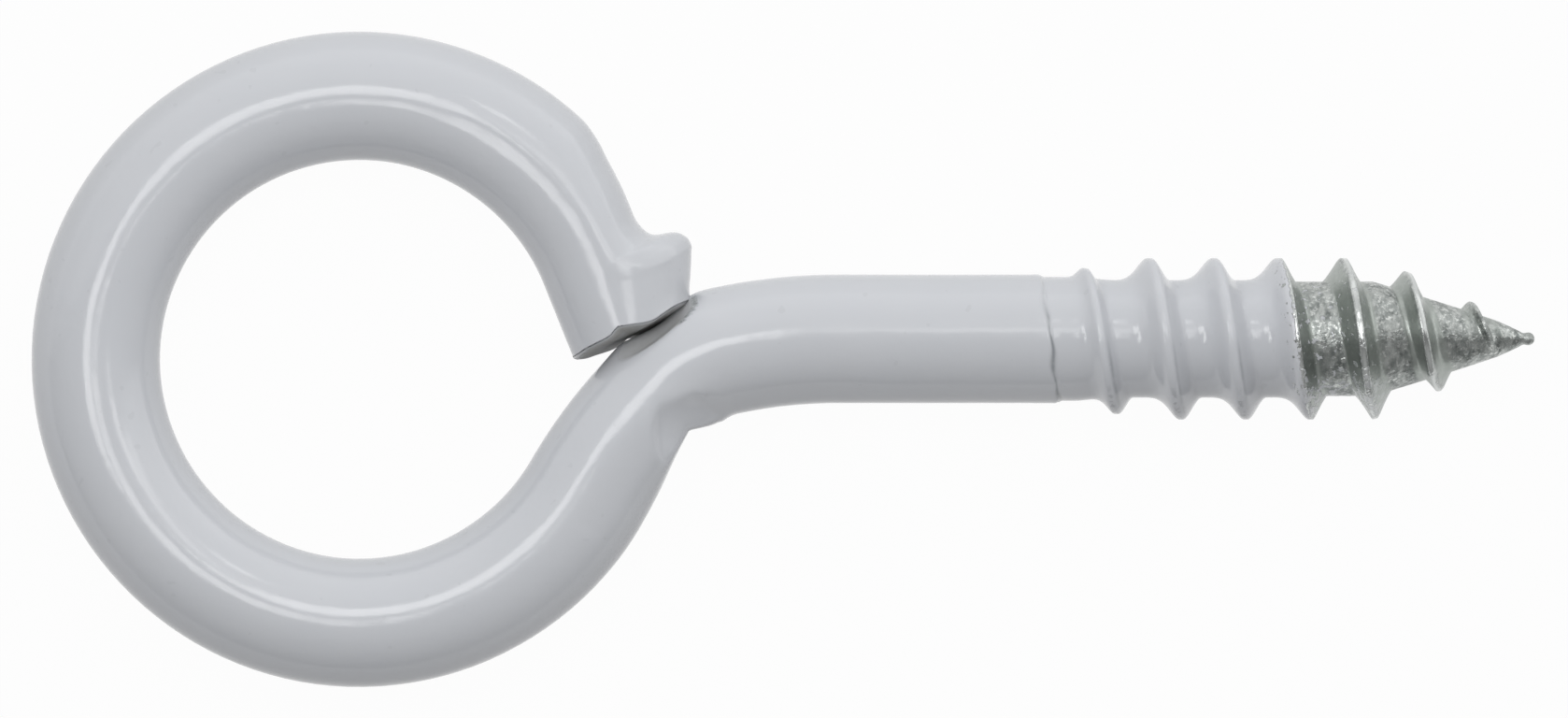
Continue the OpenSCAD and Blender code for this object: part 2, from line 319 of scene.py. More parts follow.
# Where the stub ends and where it pressed its hollow into the neck, as in the frame
stub_heading = CUT_ANGLE - 90
stub_start = EYE_R * toward(CUT_ANGLE)
neck_heading = 90 - NECK_ANGLE - EASE_TURN
neck_side = path.at(path.neck_foot)[0] + WIRE_R * toward(neck_heading + 90)
stub_reach = cross(neck_side - stub_start, toward(neck_heading)) / cross(toward(stub_heading), toward(neck_heading))
STUB_LENGTH = stub_reach + (HOLLOW_DEPTH - END_GAP) / math.sin(math.radians(neck_heading - stub_heading))
end_middle = stub_start + STUB_LENGTH * toward(stub_heading)
hollow_middle = end_middle + (END_GAP - HOLLOW_R) * toward(stub_heading + HOLLOW_TURN)
AXIS_Y = path.shank_place[1]
SHOULDER_X = TIP_X - THREAD_LENGTH
SHOULDER_P = path.shank + SHOULDER_X - path.shank_place[0]


# ---------------------------------------------------------------- stub, eye, neck and shank


def face_lean(v):
    """Slope of the sheared face."""
    return FACE_LEAN + (FACE_LEAN_AT_LIP - FACE_LEAN) * smooth(*FACE_LIP_SIDE, v)


def cut_end_section(u, angle, inside=1.0):
    """Outward reach and height of the stub's ring at u; inside below 1 shrinks the ring for the face."""
    out, up = -np.cos(np.radians(angle)), np.sin(np.radians(angle))
    lag = LIP_LAG * up * up * smooth(*LIP_LAG_SPAN, u)
    reach = np.where(out > 0, curve(OUTER_SIDE, u - lag), WIRE_R)
    v = reach * out * inside
    ridge = RIDGE_U + RIDGE_SLOPE * (v - RIDGE_V)
    beyond = np.maximum(0, u - ridge)
    short = np.maximum(0, ridge - u) * smooth(*SCOOP_START, u)
    facet = FACET_FALL * beyond * smooth(*FACET_START, beyond)
    fall = smooth(*LIP_SIDE, v) * (facet + SCOOP_FALL * short * smooth(*SCOOP_SIDE, v))
    share = np.where(up > 0, 1.0, UNDERSIDE_SHARE)
    return v, WIRE_R * up * inside - up * fall * share


def hollow_side(place, heading):
    """How far aside the hollow's foot lies, which is clear of the wire where there is no hollow."""
    to_middle = hollow_middle - place
    ahead = to_middle @ toward(heading)
    aside = to_middle @ toward(heading + 90)
    return aside - math.sqrt(HOLLOW_R**2 - ahead**2) if abs(ahead) < HOLLOW_R else 2 * WIRE_R


def crease_side(p):
    away = p - path.crease
    slope = CREASE_TRAIL if away > 0 else CREASE_LEAD
    return WIRE_R - CREASE_DEPTH + abs(away) * math.tan(math.radians(slope))


def pressed_flat(p, angle):
    """Radius of the flat on the neck, which faces the camera and the outer side."""
    along = p - path.neck_foot
    from_start = along - FLAT_START - FLAT_SKEW * WIRE_R * np.cos(np.radians(angle))
    depth = FLAT_DEPTH * smooth(0, FLAT_RISE, from_start) * smooth(FLAT_LENGTH, FLAT_LENGTH / 2, from_start)
    lean = np.cos(np.radians(angle - FLAT_ANGLE - FLAT_TWIST * np.clip(along, *FLAT_TWIST_SPAN)))
    return np.where(lean > FLAT_LEAST_LEAN, (WIRE_R - depth) / np.maximum(lean, FLAT_LEAST_LEAN), 3 * WIRE_R)


def arm_flat(p, aside, up):
    """Section with the narrow flat along the top of the arm."""
    depth = ARM_FLAT_DEPTH * smooth(*ARM_FLAT_FALL, p) * smooth(*ARM_FLAT_RISE, p)
    facing = toward(ARM_FLAT_ANGLE)
    reach = aside * facing[0] + up * facing[1]
    off = reach - soft_min(reach, WIRE_R - depth, ARM_FLAT_BLEND * depth + LEAST_BLEND)
    return aside - off * facing[0], up - off * facing[1]


def neck_section(p, radius):
    """Reach aside and height of the neck's flat, hollow and crease, and the grime, painted shade and scrape on
    them.
    """
    angle = columns()
    radius = soft_min(radius, pressed_flat(p, angle), FLAT_BLEND)
    aside, up = radius * np.cos(np.radians(angle)), radius * np.sin(np.radians(angle))
    along = p - path.neck_foot
    spread = HOLLOW_SPREAD + (HOLLOW_SPREAD_AT_LIP - HOLLOW_SPREAD) * smooth(*HOLLOW_LIP, along)
    wall = hollow_side(*path.at(p)) + spread * ease((HOLLOW_EDGE_Z - up) / (HOLLOW_EDGE_Z - HOLLOW_FOOT_Z))
    deep = np.where(aside > 0, aside - wall, -1)
    scraped = smooth(SCRAPE_START - SCRAPE_FADE, SCRAPE_START, along)
    scraped = scraped * smooth(SCRAPE_END + SCRAPE_FADE, SCRAPE_END, along)
    # Grime and painted shade on the hollow's wall
    finish = {
        "grime_and_shade": WALL_GRIME_AND_SHADE * smooth(*WALL_GRIME_AND_SHADE_EDGE, deep),
        "scrape": bell(deep, 0.0, SCRAPE_WIDTH) * scraped * (up > SCRAPE_LOWEST),
    }
    pressed = soft_min(aside, wall, HOLLOW_BLEND)
    creased = -soft_min(-aside, crease_side(p), CREASE_BLEND)
    return np.where(aside > 0, pressed, creased), up, finish


def columns():
    return START_ANGLE + TURN * np.arange(COLUMNS)


def on_wire(p, on, aside, up):
    """Points of a ring at p: on along the wire, aside to its left, and up."""
    place, heading = path.at(p)
    flat = place + on[:, None] * toward(heading) + aside[:, None] * toward(heading + 90)
    return np.concatenate([flat, up[:, None]], 1)


def wire_ring(p):
    """Points of one ring of the stub, eye, neck or shank, and the finish on them."""
    angle = columns()
    turn = np.radians(angle)
    uneven = UNEVEN * (wobble(p, angle) - 1)
    aside, up, on = (WIRE_R + uneven) * np.cos(turn), (WIRE_R + uneven) * np.sin(turn), np.zeros(COLUMNS)
    finish = {}
    if p < STUB_ENDS:
        v, z = cut_end_section(-p, angle)
        aside, up = -v + uneven * np.cos(turn), z + uneven * np.sin(turn)
        edge = curve(END_EDGE, v) + face_lean(v) * (np.abs(z) - z)
        on = (STUB_LENGTH - edge) * smooth(SLANT_FROM, STUB_LENGTH, -p)
    elif path.eye_end - NECK_MARGIN < p < path.shank + NECK_MARGIN:
        aside, up, finish = neck_section(p, WIRE_R + uneven)
    if p < ARM_ENDS:
        aside, up = arm_flat(p, aside, up)
    return on_wire(p, on, aside, up), finish


def ring_places():
    """Places of the rings before the thread, closer together where the shape changes."""
    spans = [
        (-STUB_LENGTH, -1.9, 0.05), (-1.9, -0.9, 0.09), (-0.9, 0.3, 0.035), (0.3, 4.0, 0.12), (4.0, 8.6, 0.3),
        (8.6, path.eye_end - 1.2, 0.4), (path.eye_end - 1.2, path.neck_foot - 1.2, 0.16),
        (path.neck_foot - 1.2, path.neck_top + 2.2, 0.09), (path.neck_top + 2.2, path.shank + 0.5, 0.2),
        (path.shank + 0.5, SHOULDER_P - 1.0, 0.3), (SHOULDER_P - 1.0, SHOULDER_P - 0.5, 0.1),
    ]
    places = []
    for start, end, gap in spans:
        places.append(np.linspace(start, end, max(2, math.ceil((end - start) / gap)), endpoint=False))
    places = np.concatenate(places)
    # The first ring closes the rim. It lies 0.04 behind the next one, so the skin folds back by that much.
    places[0] += RIM_R
    return places


# ---------------------------------------------------------------- thread


def crest_line(angle):
    """Where the thread's crest is after winding to an angle."""
    return FIRST_CREST + PITCH * (angle - START_ANGLE) / 360


def coat_edge(angle):
    """How far beyond the shoulder the coat reaches."""
    lap = (angle - RETURN_TO) % 360 + RETURN_TO - 360
    back = smooth(RETURN_FROM, RETURN_TO, lap)
    return crest_line(lap) * (1 - back) + crest_line(RETURN_TO - 360) * back + COATED_TURNS * PITCH


def point_taper(x):
    """1 on the straight thread, falling to 0 at the tip's ball."""
    return ramp(THREAD_LENGTH - TIP_R, THREAD_LENGTH - POINT_LENGTH, x)


def core_radius(x):
    """Radius of the thread's root, which runs in from the collar and tapers to the tip."""
    straight = COLLAR_R + (CORE_R - COLLAR_R) * ease(x / RUN_IN)
    point = TIP_R + (CORE_R - TIP_R) * point_taper(x) ** CORE_TAPER
    return np.where(x < THREAD_LENGTH - POINT_LENGTH, straight, point)


def ridge_profile(q, height, coated):
    """Share of the ridge's height at q from its crest: sharp where bare, soft and wide under the coat."""
    narrow = np.maximum(LEAST_WIDTH, height)
    out = (np.abs(q) - CREST_WIDTH / 2 * narrow) / (np.where(q < 0, *BARE_FLANKS) * narrow)
    sharp = np.clip(1 - out, 0, 1) ** BARE_POWER
    wide = np.where(q < 0, *COATED_FLANKS) * np.maximum(LEAST_COATED_WIDTH, narrow)
    rise = np.clip(1 - np.maximum(0, np.abs(q) - COATED_CREST) / wide, 0, 1)
    soft = np.sin(np.pi / 2 * rise ** np.where(q < 0, *COATED_POWERS))
    return coated * soft + (1 - coated) * sharp


def shoulder_x(side):
    """Where the coat is cracked across the shank, for points that far toward +Y."""
    return SHOULDER_X - math.tan(math.radians(SHOULDER_SLANT)) * side


def shoulder_crack(from_shoulder, around):
    """How deep the crack is, and how much painted shade darkens it, both from 0 to 1."""
    deep = bell(from_shoulder, waves(around, CRACK_DRIFT), CRACK_WIDTH + waves(around, CRACK_SWELL))
    shown = CRACK_FAINT + (1 - CRACK_FAINT) * smooth(*CRACK_SHADE_FROM, around) * smooth(*CRACK_SHADE_TO, around)
    return deep, deep * shown


def thread_skin(x, angle):
    """Radius of the thread's skin and the finish on it, the angle from +Y toward +Z."""
    around = angle % 360
    from_shoulder = x + SHOULDER_X - shoulder_x(WIRE_R * np.cos(np.radians(angle)))
    q = (x - crest_line(angle) + PITCH / 2) % PITCH - PITCH / 2
    height = curve(CREST_RISE, x - q) * np.maximum(LEAST_HEIGHT, 1 - (1 - point_taper(x - q)) ** CREST_TAPER)
    bare = x - coat_edge(angle)
    coated = smooth(COAT_BLEND, -COAT_BLEND, bare)
    ridge = ridge_profile(q, height, coated)
    r = core_radius(x) + (CREST_R - CORE_R) * height * ridge
    r = r + COAT_FILL * coated * (1 - ridge) * smooth(*COAT_FILL_START, x)
    r = np.where(from_shoulder < 0, WIRE_R - UNEVEN, r)

    # The crack's groove, and the painted shade that darkens it
    crack, crack_shade = shoulder_crack(from_shoulder, around)
    past = smooth(*SHOULDER_RISE, from_shoulder)
    r = (WIRE_R - UNEVEN / 2) * (1 - past) + r * past - CRACK_DEPTH * crack

    tip = THREAD_LENGTH - x
    ball = np.sqrt(np.maximum(0, TIP_R**2 - np.maximum(0, TIP_R - tip) ** 2))
    r = np.minimum(r, np.where(tip < TIP_R, ball, curve(TIP_NECK, tip)))

    # Painted shade in a line beside the coated crests, on their side toward the tip
    line = bell(q, LINE_PLACE, LINE_WIDTH) * coated * smooth(*LINE_START, x)
    line = LINE_SHADE * line * smooth(*LINE_FROM, around) * smooth(*LINE_TO, around)
    away = np.abs(q)
    return np.minimum(r, CREST_R), {
        "bare": bare,
        "crease": np.maximum(crack_shade, line),
        "flank": ramp(*FLANK_INNER, away) * ramp(*FLANK_OUTER, away) * smooth(*FLANK_HEIGHT, height),
        "crest": ramp(*CREST_TOP, away) * smooth(*CREST_HEIGHT, height),
    }


# ---------------------------------------------------------------- the mesh


class Skin:
    """Points of the mesh with their attributes, and the faces between rows of them."""

    def __init__(self):
        self.points, self.values, self.faces, self.count = [], [], [], 0

    def add(self, points, finish):
        """Adds points and gives their numbers."""
        points = np.reshape(points, (-1, 3))
        size = len(points)
        self.points.append(points)
        values = [np.broadcast_to(np.ravel(finish.get(name, usual)), size) for name, usual in ATTRIBUTES.items()]
        self.values.append(np.stack(values, 1))
        self.count += size
        return np.arange(self.count - size, self.count)

    def add_thread(self, x, angle):
        x, angle = np.broadcast_arrays(np.asarray(x, float), np.asarray(angle, float))
        r, finish = thread_skin(x, angle)
        turn = np.radians(angle)
        return self.add(np.stack([SHOULDER_X + x, AXIS_Y + r * np.cos(turn), r * np.sin(turn)], -1), finish)

    def stitch(self, rows, closed):
        """Faces over a grid of point numbers; a row or column that repeats a point gives triangles."""
        rows = np.asarray(rows)
        if closed:
            rows = np.concatenate([rows, rows[:, :1]], 1)
        a, b, c, d = rows[:-1, :-1], rows[:-1, 1:], rows[1:, 1:], rows[1:, :-1]
        for quad in np.stack([a, b, c, d], -1).reshape(-1, 4).tolist():
            face = [v for k, v in enumerate(quad) if v != quad[k - 1]]
            if len(set(face)) > 2:
                self.faces.append(face)

    def finish(self, name):
        """The mesh as an object in the scene."""
        mesh = bpy.data.meshes.new(name)
        mesh.from_pydata((np.concatenate(self.points) * MM).tolist(), [], self.faces)
        values = np.concatenate(self.values).astype(np.float32)
        for k, attribute in enumerate(ATTRIBUTES):
            mesh.attributes.new(attribute, "FLOAT", "POINT").data.foreach_set("value", values[:, k].copy())
        mesh.polygons.foreach_set("use_smooth", np.ones(len(mesh.polygons), bool))
        mesh.update()
        if mesh.validate():
            raise ValueError("the mesh had stray faces")
        return add_object(name, mesh)


def add_face(skin):
    """Rows of the sheared face, from its middle to its rounded rim."""
    angle = columns()
    rows = []
    for inside, back in FACE_RINGS:
        v, z = cut_end_section(STUB_LENGTH, angle, inside)
        rough = FACE_ROUGH * np.sin(FACE_ROUGH_V * v + 1) * np.cos(FACE_ROUGH_Z * z) * (1 - inside**4)
        edge = curve(END_EDGE, v / max(inside, FACE_LEAST))
        edge = FACE_MIDDLE + (edge - FACE_MIDDLE) * inside**FACE_DISH
        top = np.maximum(FACE_TOP * np.sqrt(np.maximum(0, WIRE_R**2 - v**2)), np.abs(z))
        edge = edge + face_lean(v) * (top - z)
        points = on_wire(-STUB_LENGTH, STUB_LENGTH - edge + RIM_R * back + rough, -v, z)
        # Grime and painted shade darken the sheared face, fading out at its rim
        grime_and_shade = {"grime_and_shade": smooth(*RIM_UNDARKENED, inside)}
        if inside == 0:
            rows.append(np.repeat(skin.add(points.mean(0), grime_and_shade), COLUMNS))
        else:
            rows.append(skin.add(points, grime_and_shade))
    return rows


def add_thread(skin, start_ring):
    """The thread's grid, which follows the helix, so it starts and ends with a wedge.

    Gives its end ring, and that ring's place and angles.
    """
    start_x = FIRST_CREST - PITCH / 2
    last = round((THREAD_LENGTH - THREAD_SHORT - PITCH / 2 - FIRST_CREST) / PITCH * COLUMNS)
    stations = np.arange(last + 1)
    edge_x = start_x + PITCH * stations / COLUMNS
    angles = START_ANGLE + TURN * stations
    inner = skin.add_thread(edge_x[:, None] + THREAD_ROWS[:-1], angles[:, None])
    inner = inner.reshape(last + 1, len(THREAD_ROWS) - 1)
    outer = skin.add_thread(edge_x[-COLUMNS:] + PITCH, angles[-COLUMNS:])
    band = np.concatenate([inner, np.concatenate([inner[COLUMNS:, 0], outer])[:, None]], 1)
    band[0, 0] = start_ring[0]

    def column(start, x, share, angle, end):
        """Point numbers from one edge of a wedge to the other, where it is that share of its full width."""
        return [start, *skin.add_thread(x + share * THREAD_ROWS[1:-1], angle), end]

    wedge = [np.repeat(start_ring[0], len(THREAD_ROWS))]
    for i in range(1, COLUMNS):
        wedge.append(column(start_ring[i], start_x, i / COLUMNS, angles[i], band[i, 0]))
    wedge.append(band[0])

    first = last - COLUMNS
    end_ring = skin.add_thread(edge_x[last] + PITCH, angles[first:last])
    band[last, -1] = end_ring[0]
    end_wedge = [band[last]]
    for i in range(1, COLUMNS):
        k = first + i
        end_wedge.append(column(band[k, -1], edge_x[k] + PITCH, 1 - i / COLUMNS, angles[k], end_ring[i]))
    end_wedge.append(np.repeat(end_ring[0], len(THREAD_ROWS)))
    for grid in (band, wedge, end_wedge):
        skin.stitch(np.array(grid).T, False)
    return end_ring, edge_x[last] + PITCH, angles[first:last]


def build_wire():
    skin = Skin()
    rows = add_face(skin)
    for p in ring_places():
        rows.append(skin.add(*wire_ring(p)))
    start_ring = skin.add_thread(FIRST_CREST - PITCH / 2, columns())
    skin.stitch([*rows, start_ring], True)
    end_ring, end_x, angles = add_thread(skin, start_ring)

    tip = [end_ring]
    ball_x = THREAD_LENGTH - TIP_R * (1 - np.sin(np.radians(BALL_ANGLES)))
    for x in [*np.linspace(end_x, THREAD_LENGTH - TIP_R, TIP_RINGS)[1:], *ball_x]:
        tip.append(skin.add_thread(x, angles))
    point = skin.add([TIP_X, AXIS_Y, 0], {"bare": FULLY_BARE})
    tip.append(np.repeat(point, COLUMNS))
    skin.stitch(tip, True)
    return skin.finish("screw_eye_coated")


# ---------------------------------------------------------------- materials

# Colours of the coat, of its dirt and painted shade, and of the bare zinc
COAT = (0.582, 0.597, 0.627, 1)
COAT_CLOUD = (0.564, 0.583, 0.618, 1)
COAT_SPECK = (0.50, 0.515, 0.54, 1)
# Painted shade for the shoulder crack and beside the coated crests, also used to darken the coated crests toward
# the bottom
DARKENED_COAT = (0.29, 0.305, 0.325, 1)
# Grime with painted shade, for the hollow's wall and the sheared face
GRIME_AND_SHADE = (0.43, 0.425, 0.395, 1)
ZINC_DARK = (0.14, 0.155, 0.15, 1)
ZINC = (0.30, 0.32, 0.31, 1)
ZINC_BRIGHT = (0.62, 0.64, 0.62, 1)
ZINC_BEAD = (0.56, 0.58, 0.57, 1)
ZINC_FLANK = (0.37, 0.40, 0.375, 1)
ZINC_CREST = (0.60, 0.62, 0.61, 1)

# Noises: scale, detail and, where it isn't 0.5, roughness
RAGGED, BLOTCH, GRAIN = (4.5, 3.0, 0.6), (2.2, 4.0, 0.65), (7.5, 2.0, 0.6)
SPRAY = (4.5, 2.0)
# Reliefs: scale, detail and roughness of a noise, and its height
PEEL, PITS, FINE = (1.3, 2.0, 0.5, 0.010), (4.0, 3.0, 0.6, 0.03), (11.0, 2.0, 0.5, 0.014)
# Patterns: scale, detail and roughness of a noise, the span of it that shows, and what that span becomes
CHIPS = (6.0, 2.0, 0.5, 0.62, 0.66)
CLOUDS = (0.5, 2.0, 0.5, 0.3, 0.7, 0.0, 0.25)
SPECKS = (3.1, 0.0, 0.5, 0.795, 0.815, 0.0, 0.35)
GRIME_AND_SHADE_MOTTLE = (2.6, 3.0, 0.5, 0.3, 0.7, 0.45, 0.9)
LOW_CREST_DARKENING = (5.0, 2.0, 0.5, 0.5, 0.6, 0.0, 0.55)
CREASE_SHADE_MOTTLE = (1.4, 2.0, 0.5, 0.35, 0.6, 0.45, 1.0)
SILVER, SILVER_STRETCH, SILVER_SHARE = (3.0, 3.0, 0.6, 0.42, 0.66), (1.6, 0.7, 1.0), 0.6
SHADE_POOLS = (1.5, 1.0, 0.5, 0.42, 0.55)
COAT_GLOSS = (1.1, 2.0, 0.5, 0.3, 0.7, 0.12, 0.16)
# Spans of the blotches and of the grain, with what they become
WORN_SPAN, FLANK_SPAN = (0.3, 0.55), (0.3, 0.6, 1.0, 0.75)
BRIGHT_SPAN, GRAIN_GLOSS_SPAN = (0.46, 0.72), (0.35, 0.65, 0.42, 0.24)

# The coat's edge: how ragged it is, where its chips start, and how far its sprayed drops reach beyond it,
# which is more low on the thread
RAGGED_WIDTH, EDGE_WIDTH, CHIPS_FROM = 0.26, 0.015, (-0.4, -0.12)
SPRAY_SHOWS, SPRAY_REACH, SPRAY_COVER = (0.61, 0.66), (3.4, 0.2), 0.85
SPRAY_LOW, SPRAY_LOW_ACROSS, SPRAY_LOW_REACH = (0.0, 0.13), (-0.7, -1.8), (3.2, 2.2)
# Places across the shank, from its axis toward +Y
LOW_CREST_ACROSS, SHADE_POOLS_ACROSS = (-1.3, -2.0), (0.1, -0.9)
# The zinc's painted shade in blotchy dark pools toward -Y, and the bright beads in them
BEAD_SCALE, BEAD_SPAN, BEAD_SHARE, BEAD_HEIGHT, SHADE_POOL_SHARE = 3.2, (0.36, 0.2), 0.6, 0.03, 0.6
# Roughness, and how much of the zinc's relief its flanks and crests lose
FLANK_ROUGH, CREST_ROUGH, GRIME_AND_SHADE_ROUGH = 0.36, 0.16, 0.65
FLANK_SMOOTHED, CREST_SMOOTHED = 0.75, 0.9
COAT_STEP, ZINC_METALLIC, COAT_IOR = 0.04, 0.85, 1.5


class Nodes:
    """A small helper that adds and links shader nodes."""

    def __init__(self, tree):
        self.tree = tree
        tree.nodes.clear()

    def add(self, kind, inputs=None, **settings):
        node = self.tree.nodes.new(kind)
        for name, value in settings.items():
            setattr(node, name, value)
        for name, value in (inputs or {}).items():
            self.put(node.inputs[name], value)
        return node

    def put(self, socket, value):
        """Links a socket, or sets its number."""
        if isinstance(value, bpy.types.NodeSocket):
            self.tree.links.new(value, socket)
        else:
            socket.default_value = value

    def math(self, operation, *values, clamp=False):
        return self.add("ShaderNodeMath", dict(enumerate(values)), operation=operation, use_clamp=clamp).outputs[0]

    def times(self, a, b, clamp=False):
        return self.math("MULTIPLY", a, b, clamp=clamp)

    def without(self, value):
        return self.math("SUBTRACT", 1.0, value)

    def noise(self, where, scale, detail, roughness=0.5):
        inputs = {"Vector": where, "Scale": scale, "Detail": detail, "Roughness": roughness}
        return self.add("ShaderNodeTexNoise", inputs).outputs["Fac"]

    def relief(self, where, scale, detail, roughness, height):
        return self.times(self.noise(where, scale, detail, roughness), height)

    def pattern(self, where, scale, detail, roughness, *span):
        return self.span(self.noise(where, scale, detail, roughness), *span)

    def mix(self, factor, a, b, kind="RGBA"):
        node = self.add("ShaderNodeMix", data_type=kind)
        for socket, value in zip([s for s in node.inputs if s.enabled], (factor, a, b)):
            self.put(socket, value)
        return next(s for s in node.outputs if s.enabled)

    def span(self, value, low, high, to_low=0.0, to_high=1.0):
        """to_low where the value is at low, to_high where it is at high, and a smooth change between."""
        inputs = {"Value": value, "From Min": low, "From Max": high, "To Min": to_low, "To Max": to_high}
        return self.add("ShaderNodeMapRange", inputs, interpolation_type="SMOOTHSTEP").outputs["Result"]

    def attribute(self, name):
        return self.add("ShaderNodeAttribute", attribute_name=name, attribute_type="GEOMETRY").outputs["Fac"]


def coated_wire_material():
    material = bpy.data.materials.new("white_coat_over_zinc")
    material.use_nodes = True
    n = Nodes(material.node_tree)
    metres = n.add("ShaderNodeTexCoord").outputs["Object"]
    mm = n.add("ShaderNodeVectorMath", {0: metres, 3: 1 / MM}, operation="SCALE").outputs[0]
    bare, crease, grime_and_shade, scrape, flank, crest = (n.attribute(name) for name in ATTRIBUTES)
    side = n.math("SUBTRACT", n.add("ShaderNodeSeparateXYZ", {0: mm}).outputs["Y"], AXIS_Y)

    # Where the zinc shows: beyond the ragged edge, in chips just before it and where the coat is scraped
    # off, but not under the drops of coat that were sprayed beyond the edge
    ragged = n.math("SUBTRACT", n.noise(mm, *RAGGED), 0.5)
    edge = n.math("ADD", bare, n.times(ragged, RAGGED_WIDTH))
    chips = n.times(n.span(bare, *CHIPS_FROM), n.pattern(mm, *CHIPS))
    low = n.times(n.span(side, *SPRAY_LOW_ACROSS, *SPRAY_LOW), n.span(bare, *SPRAY_LOW_REACH))
    spray = n.span(n.math("ADD", n.noise(mm, *SPRAY), low), *SPRAY_SHOWS)
    drops = n.times(spray, n.span(bare, *SPRAY_REACH))
    zinc = n.math("MAXIMUM", n.span(edge, -EDGE_WIDTH, EDGE_WIDTH), chips)
    zinc = n.times(zinc, n.without(n.times(drops, SPRAY_COVER)), clamp=True)
    zinc = n.math("MAXIMUM", zinc, scrape, clamp=True)

    coat = n.mix(n.pattern(mm, *CLOUDS), COAT, COAT_CLOUD)
    coat = n.mix(n.pattern(mm, *SPECKS), coat, COAT_SPECK)
    # Grime and painted shade on the hollow's wall and the sheared face
    coat = n.mix(n.times(grime_and_shade, n.pattern(mm, *GRIME_AND_SHADE_MOTTLE)), coat, GRIME_AND_SHADE)
    # Darker on the coated crests toward the bottom of the shank
    low_crest_darkening = n.times(n.times(crest, n.span(side, *LOW_CREST_ACROSS)), n.pattern(mm, *LOW_CREST_DARKENING))
    coat = n.mix(low_crest_darkening, coat, DARKENED_COAT)
    # Painted shade in the shoulder crack and beside the coated crests
    coat = n.mix(n.times(crease, n.pattern(mm, *CREASE_SHADE_MOTTLE), clamp=True), coat, DARKENED_COAT)

    blotch, grain = n.noise(mm, *BLOTCH), n.noise(mm, *GRAIN)
    stretched = n.add("ShaderNodeVectorMath", {0: mm, 1: SILVER_STRETCH}, operation="MULTIPLY").outputs[0]
    silver = n.times(n.pattern(stretched, *SILVER), SILVER_SHARE)
    cells = n.add("ShaderNodeTexVoronoi", {"Vector": mm, "Scale": BEAD_SCALE}).outputs["Distance"]
    # Painted shade on the zinc: blotchy dark pools on its side toward -Y
    shade_pools = n.times(n.span(side, *SHADE_POOLS_ACROSS), n.pattern(mm, *SHADE_POOLS))
    beads = n.times(n.span(cells, *BEAD_SPAN), n.times(shade_pools, n.without(flank)))
    zinc_colour = n.mix(n.span(blotch, *WORN_SPAN), ZINC_DARK, ZINC)
    zinc_colour = n.mix(n.math("MAXIMUM", n.span(grain, *BRIGHT_SPAN), silver), zinc_colour, ZINC_BRIGHT)
    # The pools' painted shade
    zinc_colour = n.mix(n.times(shade_pools, SHADE_POOL_SHARE), zinc_colour, ZINC_DARK)
    zinc_colour = n.mix(n.times(beads, BEAD_SHARE), zinc_colour, ZINC_BEAD)
    zinc_colour = n.mix(n.times(flank, n.span(blotch, *FLANK_SPAN)), zinc_colour, ZINC_FLANK)
    zinc_colour = n.mix(crest, zinc_colour, ZINC_CREST)

    coat_rough = n.mix(grime_and_shade, n.pattern(mm, *COAT_GLOSS), GRIME_AND_SHADE_ROUGH, "FLOAT")
    zinc_rough = n.mix(flank, n.span(grain, *GRAIN_GLOSS_SPAN), FLANK_ROUGH, "FLOAT")
    zinc_rough = n.mix(crest, zinc_rough, CREST_ROUGH, "FLOAT")

    smoothed = n.math("MAXIMUM", n.times(flank, FLANK_SMOOTHED), n.times(crest, CREST_SMOOTHED))
    zinc_height = n.times(n.math("ADD", n.relief(mm, *PITS), n.relief(mm, *FINE)), n.without(smoothed))
    zinc_height = n.math("ADD", zinc_height, n.times(beads, BEAD_HEIGHT))
    height = n.mix(zinc, n.relief(mm, *PEEL), zinc_height, "FLOAT")
    height = n.math("ADD", height, n.times(n.without(zinc), COAT_STEP))
    bump = n.add("ShaderNodeBump", {"Strength": 1.0, "Distance": MM, "Height": height}).outputs["Normal"]

    shader = n.add("ShaderNodeBsdfPrincipled", {
        "Base Color": n.mix(zinc, coat, zinc_colour),
        "Metallic": n.times(zinc, ZINC_METALLIC),
        "Roughness": n.mix(zinc, coat_rough, zinc_rough, "FLOAT"),
        "Normal": bump,
        "IOR": COAT_IOR,
    })
    n.add("ShaderNodeOutputMaterial", {"Surface": shader.outputs[0]})
    return material


# The floor's own grey, and how much of it the camera and reflections see as white: the rest keeps the shadow
FLOOR_GREY = (0.5, 0.5, 0.5, 1)
FLOOR_WHITE = 0.97
FLOOR_HALF = 1.0


def floor_material():
    material = bpy.data.materials.new("pale_floor")
    material.use_nodes = True
    n = Nodes(material.node_tree)
    rays = n.add("ShaderNodeLightPath")
    matt = n.add("ShaderNodeBsdfDiffuse", {"Color": FLOOR_GREY}).outputs[0]
    white = n.add("ShaderNodeEmission", {"Color": (1, 1, 1, 1), "Strength": 1.0}).outputs[0]
    seen = n.math("ADD", rays.outputs["Is Camera Ray"], rays.outputs["Is Glossy Ray"], clamp=True)
    surface = n.add("ShaderNodeMixShader", {0: n.times(seen, FLOOR_WHITE), 1: matt, 2: white}).outputs[0]
    n.add("ShaderNodeOutputMaterial", {"Surface": surface})
    return material


# ---------------------------------------------------------------- the studio

# Lamps that shine straight down: centre, size and radiance
LAMPS = {
    "key": ((-12, 24, 92), (44, 24), 4.4),
    "key_side": ((-31, 0, 92), (20, 24), 4.8),
    "far_softbox": ((36, 43, 92), (50, 22), 0.3),
    "far_edge": ((40, 26, 92), (48, 13), 2.0),
    "tip_lamp": ((34, 36, 92), (15, 66), 3.4),
    "arm_lamp": ((-8.5, -7, 75), (14, 14), 4.6),
}

